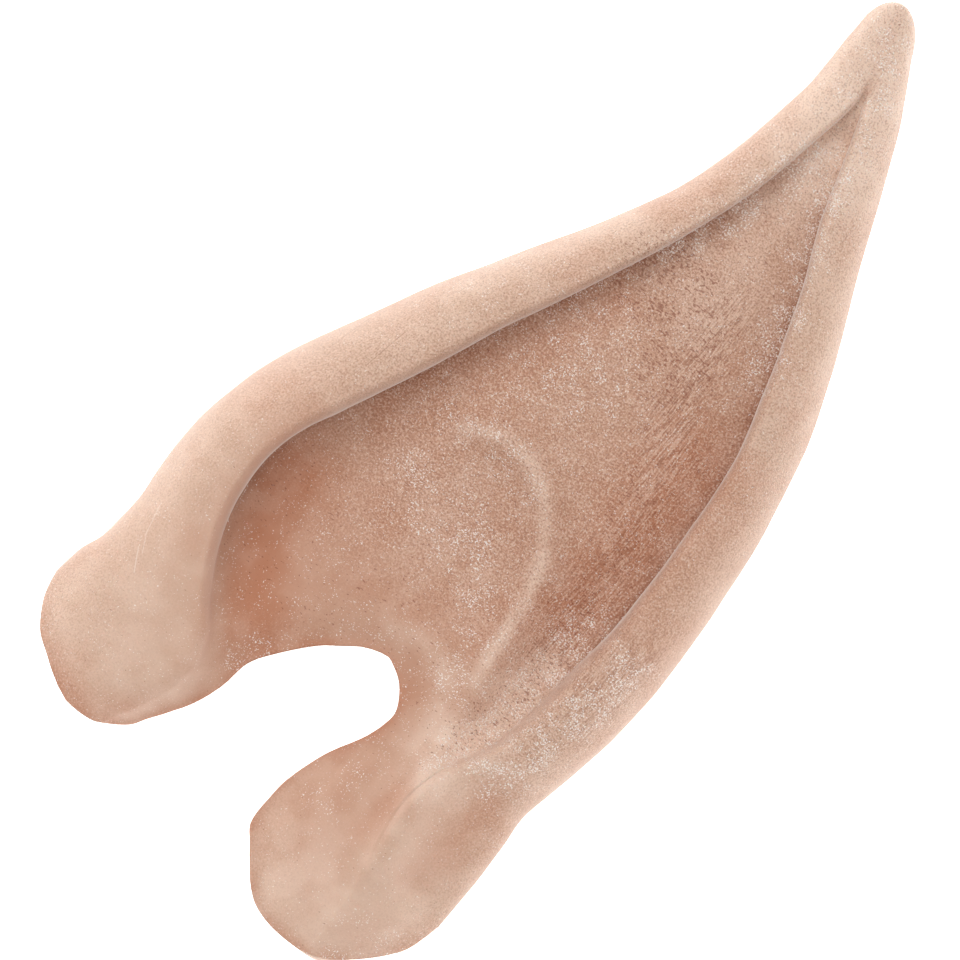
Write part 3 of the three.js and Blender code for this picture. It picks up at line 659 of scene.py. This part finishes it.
def sections(at, inset, steps):
    """The rings of points round the sections. The marks say for each point how far it is on the
    front, whether it is floor, and how near it is to the crease under a tucked rim, which takes
    painted shade, and to its brink, which takes a painted highlight."""
    left = column(OUTLINE, "left", at) * EAR_WIDTH + inset
    right = column(OUTLINE, "right", at) * EAR_WIDTH - inset
    side = column(BED, "side", at) * SIDE_HEIGHT
    middle_floor = column(BED, "floor", at) * BODY_DEPTH - inset
    back = column(BED, "back", at) * BODY_DEPTH + inset
    left_rim, right_rim = rim_at(LEFT_RIM, at, inset), rim_at(RIGHT_RIM, at, inset)

    share = (np.arange(steps.rim) / steps.rim)[None, :]
    left_in, left_z = rim_points(left_rim, side, share)
    right_in, right_z = rim_points(right_rim, side, share[:, ::-1])
    end = np.ones((1, 1))
    start_x = left[:, None] + rim_points(left_rim, side, end)[0]
    end_x = right[:, None] - rim_points(right_rim, side, end)[0]

    w = (np.arange(steps.floor + 1) / steps.floor)[None, :]
    floor_x = start_x + (end_x - start_x) * w
    (left_rise, left_reach), (right_rise, right_reach) = rim_foot(left_rim), rim_foot(right_rim)
    floor_z = (
        left_rim["floor"][:, None] * (1 - w) * (1 - 2 * w)
        + middle_floor[:, None] * 4 * w * (1 - w)
        + right_rim["floor"][:, None] * w * (2 * w - 1)
        + left_rise[:, None] * np.exp(-(floor_x - start_x) / left_reach[:, None])
        + right_rise[:, None] * np.exp(-(end_x - floor_x) / right_reach[:, None])
    )

    angle = (np.arange(1, steps.back) / steps.back * math.pi)[None, :]
    out = np.sign(np.cos(angle)) * np.abs(np.cos(angle)) ** (2 / BACK_FLATNESS)
    down = np.sin(angle) ** (2 / BACK_FLATNESS)
    middle, half = ((left + right) / 2)[:, None], ((right - left) / 2)[:, None]
    back_z = side[:, None] - (side - back)[:, None] * down

    x = np.hstack([left[:, None] + left_in, floor_x, right[:, None] - right_in, middle + half * out])
    z = np.hstack([left_z, floor_z, right_z, back_z])
    y = np.broadcast_to(lengthwise(at)[:, None], x.shape).copy()

    def rise(rim, height):
        return np.clip((height - side[:, None]) / (rim["crest"] - side)[:, None], 0, 1)

    def tucked(rim):
        return smoothstep(*TUCKED_TURN, np.degrees(rim["turn"]))[:, None]

    # painted highlight where a tucked rim's brink turns to the light
    def brink_highlight(rim, share):
        past_crest = share * (90 + np.degrees(rim["turn"])[:, None]) - 90
        return tucked(rim) * np.exp(-(((past_crest - BRINK_HIGHLIGHT[0]) / BRINK_HIGHLIGHT[1]) ** 2))

    # painted shade on the floor beside the foot of a tucked rim
    def crease_shade(rim, away):
        return tucked(rim) * np.exp(-away / CREASE_SHADE_REACH)

    front = np.hstack([
        rise(left_rim, left_z), np.ones_like(floor_z), rise(right_rim, right_z), 0 * back_z,
    ])
    floor_tone = np.broadcast_to(smoothstep(*FLOOR_FADE, at)[:, None], floor_z.shape)
    floor = np.hstack([0 * left_z, floor_tone, 0 * right_z, 0 * back_z])
    crease_shaded = crease_shade(left_rim, floor_x - start_x) + crease_shade(right_rim, end_x - floor_x)
    crease_shaded = np.hstack([0 * left_z, crease_shaded, 0 * right_z, 0 * back_z])
    brink_highlights = np.hstack([
        brink_highlight(left_rim, share), 0 * floor_z, brink_highlight(right_rim, share[:, ::-1]), 0 * back_z,
    ])
    rings = np.stack([x, y, z + front * relief(x, y)], axis=2)
    return rings, np.stack([front, floor, crease_shaded, brink_highlights], axis=2)


def stays_of(rings, steps):
    """How far each point is inside its trimmed edge: the front's, or on the back the arch's."""
    x, y = rings[:, :, 0], rings[:, :, 1]
    stays = np.full(x.shape, EAR_LENGTH, float)
    front_count = 2 * steps.rim + steps.floor + 1
    low = y[:, 0] < lengthwise(TRIMMED_SHARE)
    for part, line in ((np.s_[:front_count], FRONT_LINE), (np.s_[front_count:], BACK_LINE)):
        stays[low, part] = kept_side(trim_outline(line), x[low, part], y[low, part])
    stays[np.abs(stays) < SNAP_DISTANCE] = 0
    return stays


def skin(inset, shoulder, end_share, steps):
    """A skin from below the base to its round end, as rings of points with their marks, and how far
    each point is inside the trimmed edge. That is read off the outer skin for both skins."""
    t = (np.arange(steps.rows) / (steps.rows - 1)) ** ROW_CROWDING
    at = -BASE_OVERRUN + (shoulder + BASE_OVERRUN) * t
    rings, marks = sections(at, inset, steps)
    stays = stays_of(sections(at, 0, steps)[0] if inset > 0 else rings, steps)
    last = rings[-1]
    centre = last.mean(axis=0)
    start = math.radians(TIP_START)
    ends = []
    for i in range(1, steps.end + 1):
        angle = start + (math.pi / 2 - start) * i / steps.end
        ahead = end_share * EAR_LENGTH * (math.sin(angle) - math.sin(start)) / (1 - math.sin(start))
        shrink = math.cos(angle) / math.cos(start)
        ends.append((last - centre) * shrink + centre + np.array([TIP_LEAN * ahead, ahead, 0]))
    rings = np.concatenate([rings, np.array(ends)])
    marks = np.concatenate([marks, np.repeat(marks[-1:], steps.end, axis=0)])
    stays = np.concatenate([stays, np.repeat(stays[-1:], steps.end, axis=0)])
    return rings, marks, stays


def ring_normals(rings):
    """The outward direction at each point of a skin."""
    around = np.roll(rings, -1, axis=1) - np.roll(rings, 1, axis=1)
    ahead = np.gradient(rings, axis=0)
    normals = np.cross(around, ahead)
    length = np.linalg.norm(normals, axis=2, keepdims=True)
    return normals / np.maximum(length, LEAST_LENGTH)


def swell(rings):
    """The skin with the slight unevenness of a hand-poured casting."""
    normals = ring_normals(rings)
    shift = np.zeros(rings.shape[:2])
    for size, height in SWELLS:
        shift += height * np.array(
            [[noise.noise(Vector(p) / size) for p in ring] for ring in rings]
        )
    return rings + normals * shift[:, :, None]


def trim_outline(line):
    """The closed outline of what a trimmed edge cuts away, as a run of points."""
    beyond = EAR_WIDTH
    below = lengthwise(0) - beyond
    start, end = line[0], line[-1]
    corners = [
        [(start[0] - beyond, start[1]), (start[0] - beyond, below)],
        [(end[0] + beyond, below), (end[0] + beyond, end[1])],
    ]
    return np.array([*corners[0], *corners[1], *line[::-1], corners[0][0]])


def kept_side(outline, x, y):
    """The distance to a trimmed edge: above 0 where the skin stays, below 0 where it is cut away."""
    inside = np.zeros(x.shape, bool)
    for a, b in zip(outline[:-1], outline[1:]):
        spans = (a[1] > y) != (b[1] > y)
        height = b[1] - a[1] if b[1] != a[1] else 1.0
        inside ^= spans & (x < (b[0] - a[0]) * (y - a[1]) / height + a[0])
    away, _ = nearest_on(outline, x, y)
    return np.where(inside, -away, away)


def skin_mesh(rings, marks, stays):
    """A skin's points with their marks, and its faces, with the base trimmed off."""
    rows, count = rings.shape[:2]
    data = np.concatenate([rings, marks], axis=2).reshape(rows * count, -1)
    index = np.arange(rows * count).reshape(rows, count)
    beside = np.roll(index, -1, axis=1)
    faces = np.stack([index[:-1], beside[:-1], beside[1:], index[1:]], axis=2).reshape(-1, 4)
    return clip(data, faces, stays.reshape(-1))


def clip(data, faces, stays):
    """The faces on the side where stays is 0 or more, with new points where an edge is cut."""
    keep = stays >= 0
    kept = keep[faces].sum(axis=1)
    polygons = faces[kept == 4].tolist()
    fresh = []
    known = {}

    def crossing(i, j):
        key = (min(i, j), max(i, j))
        if key not in known:
            t = stays[i] / (stays[i] - stays[j])
            known[key] = len(data) + len(fresh)
            fresh.append(data[i] * (1 - t) + data[j] * t)
        return known[key]

    for face in faces[(kept > 0) & (kept < 4)].tolist():
        polygon = []
        for i, j in zip(face, face[1:] + face[:1]):
            if keep[i]:
                polygon.append(i)
            if stays[i] * stays[j] < 0:
                polygon.append(crossing(i, j))
        if len(polygon) > 2:
            polygons.append(polygon)
    data = np.vstack([data, fresh]) if fresh else data
    used = sorted({i for polygon in polygons for i in polygon})
    place = {old: new for new, old in enumerate(used)}
    return data[used], [[place[i] for i in polygon] for polygon in polygons]


def open_edge(polygons):
    """The longest run of points round the open edge of some faces."""
    edges = {(i, j) for p in polygons for i, j in zip(p, p[1:] + p[:1])}
    after = {i: j for i, j in edges if (j, i) not in edges}
    runs = []
    while after:
        run = [next(iter(after))]
        while run[-1] in after:
            run.append(after.pop(run[-1]))
        runs.append(run[:-1])
    return max(runs, key=len)


def edge_faces(points, outer, inner):
    """Triangles that join the outer skin's open edge to the inner skin's, along the cut."""
    nearest = np.argmin(np.linalg.norm(points[inner] - points[outer[0]], axis=1))
    inner = inner[nearest:] + inner[: nearest + 1]
    outer = outer + outer[:1]
    i = j = 0
    triangles = []
    while i < len(outer) - 1 or j < len(inner) - 1:
        step_outer = step_inner = math.inf
        if i < len(outer) - 1:
            step_outer = np.linalg.norm(points[outer[i + 1]] - points[inner[j]])
        if j < len(inner) - 1:
            step_inner = np.linalg.norm(points[outer[i]] - points[inner[j + 1]])
        if step_outer <= step_inner:
            triangles.append([outer[i + 1], outer[i], inner[j]])
            i += 1
        else:
            triangles.append([outer[i], inner[j], inner[j + 1]])
            j += 1
    return triangles


def build_shell():
    """The whole shell: its points with their marks, and its faces. The outer skin's points come
    first, and the last value of a point is 1 on the inner skin."""
    rings, marks, stays = skin(0, 1 - TIP_SHARE, TIP_SHARE, OUTER_STEPS)
    outer, outer_faces = skin_mesh(swell(rings), marks, stays)
    rings, marks, stays = skin(WALL, HOLLOW_SHARE - INNER_END_SHARE, INNER_END_SHARE, INNER_STEPS)
    inner, inner_faces = skin_mesh(rings, 0 * marks, stays)
    inner_faces = [[i + len(outer) for i in reversed(face)] for face in inner_faces]
    inside = np.repeat([0.0, 1.0], [len(outer), len(inner)])
    data = np.column_stack([np.vstack([outer, inner]), inside])
    cut = edge_faces(data[:, :3], open_edge(outer_faces), open_edge(inner_faces)[::-1])
    return data, outer_faces + inner_faces + cut


def cloud(points, size):
    """Soft noise between 0 and 1 at each point, with size millimetres from blotch to blotch."""
    values = [noise.fractal(Vector(p) / size, *CLOUD_STEPS) for p in points]
    return smoothstep(*CLOUD_LIMITS, np.array(values))


def paint(data):
    """How strongly each point of the shell has each kind of colour or surface, painted shade and painted
    highlights among them.
    """
    x, y, _, front, floor, crease_shade, brink_highlight, inside = data.T
    near_cut, _ = nearest_on(FRONT_LINE, x, y)
    return {
        "front": front,
        "floor": floor,
        # painted shade in the creases
        "crease_shade": crease_shade,
        "inside": inside,
        "cut": front * np.exp(-((near_cut / CUT_REACH) ** 2)),
        # partly the latex's own orange, partly painted shade in hollows
        "orange_and_shade": front * brushed(ORANGE_AND_SHADE, x, y),
        # paler latex and painted highlights
        "pale_and_highlight": front * brushed(PALE_AND_HIGHLIGHT, x, y),
        # painted highlight on the brinks
        "brink_highlight": brink_highlight,
        "grainy": LEAST_GRAIN + FLOOR_GRAIN * floor + front * brushed(GRAINY, x, y),
        "powdered": LEAST_TALC + FLOOR_TALC * floor + front * brushed(POWDERED, x, y),
        "pitted": LEAST_PITS + FLOOR_PITS * floor + front * brushed(PITTED, x, y),
        "combed": front * brushed(COMBED, x, y),
        "blotched": cloud(data[:, :3], BLOTCH_SIZE),
        "patchy": cloud(data[:, :3], PATCH_SIZE),
    }


def frame_shift(points):
    """What to add to points in metres so that they lie on the CAD node's box."""
    low, high = (np.array(corner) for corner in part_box("latex_ear"))
    own_low, own_high = points.min(axis=0), points.max(axis=0)
    shift = (low + high) / 2 - (own_low + own_high) / 2
    shift[2] = low[2] - own_low[2]
    return shift


def add_ear():
    """The ear as one mesh with its paint. Returns it with the place of the part's own origin."""
    data, faces = build_shell()
    points = data[:, :3] * MM
    shift = frame_shift(points)
    mesh = bpy.data.meshes.new("latex_shell")
    mesh.from_pydata((points + shift).tolist(), [], faces)
    for name, values in paint(data).items():
        layer = mesh.attributes.new(name, "FLOAT", "POINT")
        layer.data.foreach_set("value", np.clip(values, 0, 1).astype(np.float32))
    mesh.shade_smooth()
    ear = bpy.data.objects.new("latex_shell", mesh)
    bpy.context.scene.collection.objects.link(ear)
    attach(ear, "root")
    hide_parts("latex_ear")
    return ear, Vector(shift)


def add_node(tree, kind, inputs=None, **settings):
    """A shader node. Each of its inputs is a value or another node's output."""
    made = tree.nodes.new(kind)
    for name, value in settings.items():
        setattr(made, name, value)
    sockets = {socket.identifier: socket for socket in made.inputs}
    for name, value in (inputs or {}).items():
        if isinstance(value, bpy.types.NodeSocket):
            tree.links.new(value, sockets[name])
        else:
            sockets[name].default_value = value
    return made


def maths(tree, operation, a, b=0.0, clamp=False):
    """The outcome of one sum."""
    inputs = {"Value": a, "Value_001": b}
    return add_node(tree, "ShaderNodeMath", inputs, operation=operation, use_clamp=clamp).outputs[0]


def product(tree, first, *others):
    """Some values multiplied, kept between 0 and 1."""
    for other in others:
        first = maths(tree, "MULTIPLY", first, other, clamp=True)
    return first


def vectors(tree, operation, a, b):
    """The outcome of one sum on vectors."""
    inputs = {"Vector": a, "Vector_001": b}
    made = add_node(tree, "ShaderNodeVectorMath", inputs, operation=operation)
    return made.outputs["Value" if operation in ("DOT_PRODUCT", "DISTANCE") else "Vector"]


def between(tree, value, low, high, start=0.0, end=1.0):
    """A value's way from low to high, eased, as a way from start to end."""
    inputs = {"Value": value, "From Min": low, "From Max": high, "To Min": start, "To Max": end}
    return add_node(tree, "ShaderNodeMapRange", inputs, interpolation_type="SMOOTHSTEP").outputs[0]


def noise_at(tree, place, size, detail=FINE_DETAIL):
    """Noise around 0.5, with size millimetres from one blotch to the next."""
    inputs = {"Vector": place, "Scale": 1 / (size * MM), "Detail": detail}
    return add_node(tree, "ShaderNodeTexNoise", inputs).outputs[0]


def marked(tree, name):
    """One of the ear's paint layers."""
    return add_node(tree, "ShaderNodeAttribute", attribute_name=name).outputs["Fac"]


def mixed(tree, share, a, b):
    """Colour a turning into colour b."""
    inputs = {"Factor_Float": share, "A_Color": a, "B_Color": b}
    made = add_node(tree, "ShaderNodeMix", inputs, data_type="RGBA")
    return next(socket for socket in made.outputs if socket.identifier == "Result_Color")


def line_mark(tree, flat, line, origin):
    """1 along a fine straight line and 0 beyond its width, on places without their height."""
    start, end = (
        Vector((across * EAR_WIDTH * MM + origin.x, lengthwise(along) * MM + origin.y, 0))
        for across, along in (line.start, line.end)
    )
    run = end - start
    offset = vectors(tree, "SUBTRACT", flat, start)
    share = maths(tree, "ADD", vectors(tree, "DOT_PRODUCT", offset, run / run.length_squared), clamp=True)
    inputs = {"Vector": run, "Scale": share}
    nearest = add_node(tree, "ShaderNodeVectorMath", inputs, operation="SCALE").outputs["Vector"]
    half = line.width * MM / 2
    return between(tree, vectors(tree, "DISTANCE", offset, nearest), LINE_CORE * half, half, 1, 0)


def line_marks(tree, place, lines, origin):
    """All of some fine lines, on the front only."""
    flat = vectors(tree, "MULTIPLY", place, (1, 1, 0))
    total = line_mark(tree, flat, lines[0], origin)
    for line in lines[1:]:
        total = maths(tree, "MAXIMUM", total, line_mark(tree, flat, line, origin))
    return product(tree, total, marked(tree, "front"))


def drawn_out(tree, place, stretch):
    """Places scaled, so that noise on them is longer along an axis with a small scale."""
    return vectors(tree, "MULTIPLY", place, stretch)


def specks(tree, place, size, amount):
    """Small spots of a size in millimetres, more and bigger ones where amount is nearer to 1."""
    limit = between(tree, amount, 0, 1, *SPECK_LIMITS)
    above = maths(tree, "SUBTRACT", noise_at(tree, place, size, PLAIN_DETAIL), limit)
    return between(tree, above, 0, SPECK_EDGE)


def fine_marks(tree, place, grain, comb, origin):
    """Where the fine marks of the surface are, each between 0 and 1."""
    clusters = between(tree, noise_at(tree, place, CLUSTER_SIZE), *CLUSTER_LIMITS)
    powdered = product(tree, marked(tree, "powdered"), between(tree, clusters, 0, 1, *CLUSTERED))
    pitted = product(
        tree, marked(tree, "pitted"), between(tree, clusters, 0, 1, *reversed(CLUSTERED))
    )
    grainy = marked(tree, "grainy")
    combed = marked(tree, "combed")
    return {
        "dark_grain": product(tree, between(tree, grain, *DARK_GRAIN), grainy),
        "light_grain": product(tree, between(tree, grain, *LIGHT_GRAIN), grainy),
        "dark_lines": product(tree, between(tree, comb, *DARK_LINES), combed),
        "light_lines": product(tree, between(tree, comb, *LIGHT_LINES), combed),
        "talc": specks(tree, place, FLECK_SIZE, powdered),
        "pits": specks(tree, drawn_out(tree, place, PIT_STRETCH), PIT_SIZE, pitted),
        "scratches": line_marks(tree, place, SCRATCHES, origin),
        "mould_lines": line_marks(tree, place, MOULD_LINES, origin),
    }


def latex_colour(tree, marks):
    """The colour: the flesh tone under all the layers, painted shade and painted highlights among them.
    """
    patchy = marked(tree, "patchy")
    colour = TONES["flesh"]
    for layer in LAYERS:
        where = marks[layer.mark] if layer.mark in marks else marked(tree, layer.mark)
        cover = between(tree, patchy, 0, 1, layer.least, layer.most)
        colour = mixed(tree, product(tree, where, cover), colour, TONES[layer.tone])
    return colour


def latex_height(tree, grain, comb):
    """The height of the grain and the combed lines, in millimetres."""
    grain_height = between(tree, marked(tree, "grainy"), 0, 1, *GRAIN_HEIGHTS)
    comb_height = maths(tree, "MULTIPLY", marked(tree, "combed"), COMB_HEIGHT)
    return maths(
        tree,
        "ADD",
        maths(tree, "MULTIPLY", grain, grain_height),
        maths(tree, "MULTIPLY", comb, comb_height),
    )


def latex_material(origin):
    """Matt, slightly translucent cast latex with talc left on it."""
    material = bpy.data.materials.new("latex")
    material.use_nodes = True
    tree = material.node_tree
    shader = tree.nodes["Principled BSDF"]
    place = add_node(tree, "ShaderNodeTexCoord").outputs["Object"]
    grain = noise_at(tree, place, GRAIN_SIZE)
    comb = noise_at(tree, drawn_out(tree, place, COMB_STRETCH), COMB_SIZE, PLAIN_DETAIL)
    height = latex_height(tree, grain, comb)
    bump = add_node(tree, "ShaderNodeBump", {"Height": height, "Distance": MM, "Strength": 1})
    colour = latex_colour(tree, fine_marks(tree, place, grain, comb, origin))
    tree.links.new(colour, shader.inputs["Base Color"])
    tree.links.new(bump.outputs["Normal"], shader.inputs["Normal"])
    tree.links.new(between(tree, grain, *GLOSS_GRAIN, *ROUGHNESS), shader.inputs["Roughness"])
    shader.inputs["Subsurface Weight"].default_value = SKIN_DEPTH_SHARE
    shader.inputs["Subsurface Radius"].default_value = SKIN_RADIUS
    shader.inputs["Subsurface Scale"].default_value = SKIN_DEPTH * MM
    shader.inputs["Specular IOR Level"].default_value = SPECULAR
    shader.inputs["Sheen Weight"].default_value = SHEEN
    shader.inputs["Sheen Roughness"].default_value = SHEEN_ROUGHNESS
    shader.inputs["Sheen Tint"].default_value = (1, 1, 1, 1)
    return material


def add_floor():
    """A wide plain light table just under the ear."""
    half = FLOOR_SIZE / 2
    floor_mesh = bpy.data.meshes.new("light_table")
    corners = [(-half, -half, 0), (half, -half, 0), (half, half, 0), (-half, half, 0)]
    floor_mesh.from_pydata(corners, [], [(0, 1, 2, 3)])
    floor = bpy.data.objects.new("light_table", floor_mesh)
    floor.location.z = -FLOOR_GAP
    bpy.context.scene.collection.objects.link(floor)
    acrylic = bpy.data.materials.new("white_acrylic")
    acrylic.use_nodes = True
    shader = acrylic.node_tree.nodes["Principled BSDF"]
    shader.inputs["Base Color"].default_value = TABLE_COLOUR
    shader.inputs["Roughness"].default_value = TABLE_ROUGHNESS
    shader.inputs["Emission Color"].default_value = (1, 1, 1, 1)
    shader.inputs["Emission Strength"].default_value = TABLE_LIGHT
    floor_mesh.materials.append(acrylic)


def add_camera():
    """A long lens straight above the ear, turned and placed as in the photo."""
    low, high = (Vector(corner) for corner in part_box("latex_ear"))
    middle = (low + high) / 2
    turn = math.radians(TIP_TURN)
    right = Vector((math.cos(turn), math.sin(turn), 0))
    up = Vector((-math.sin(turn), math.cos(turn), 0))
    aside = (FRAME_PIXELS / 2 - MIDDLE_PIXEL[0]) * MM_PER_PIXEL * MM
    above = (MIDDLE_PIXEL[1] - FRAME_PIXELS / 2) * MM_PER_PIXEL * MM
    width = FRAME_PIXELS * MM_PER_PIXEL * MM
    camera_data = bpy.data.cameras.new("camera")
    camera_data.lens = LENS
    camera_data.sensor_width = SENSOR
    camera_data.clip_start, camera_data.clip_end = SIGHT
    camera = bpy.data.objects.new("camera", camera_data)
    place = middle + right * aside + up * above
    place.z = SIDE_HEIGHT * MM + width * LENS / SENSOR
    turned = Matrix((right, up, Vector((0, 0, 1)))).transposed().to_4x4()
    camera.matrix_world = Matrix.Translation(place) @ turned
    bpy.context.scene.collection.objects.link(camera)
    bpy.context.scene.camera = camera


def add_lamp(lamp):
    """A soft square lamp that faces the ear."""
    data = bpy.data.lights.new(lamp.name, "AREA")
    data.size = lamp.size
    data.energy = lamp.power
    made = bpy.data.objects.new(lamp.name, data)
    made.location = lamp.place
    made.rotation_euler = (-Vector(lamp.place)).to_track_quat("-Z", "Y").to_euler()
    bpy.context.scene.collection.objects.link(made)


def add_light():
    """A bright even room with the soft lamps."""
    world = bpy.data.worlds.new("studio")
    world.use_nodes = True
    background = world.node_tree.nodes["Background"]
    background.inputs["Color"].default_value = (1, 1, 1, 1)
    background.inputs["Strength"].default_value = ROOM_LIGHT
    bpy.context.scene.world = world
    for lamp in LAMPS:
        add_lamp(lamp)
    bpy.context.scene.view_settings.view_transform = "Standard"


ear, origin = add_ear()
ear.data.materials.append(latex_material(origin))
add_floor()
add_camera()
add_light()
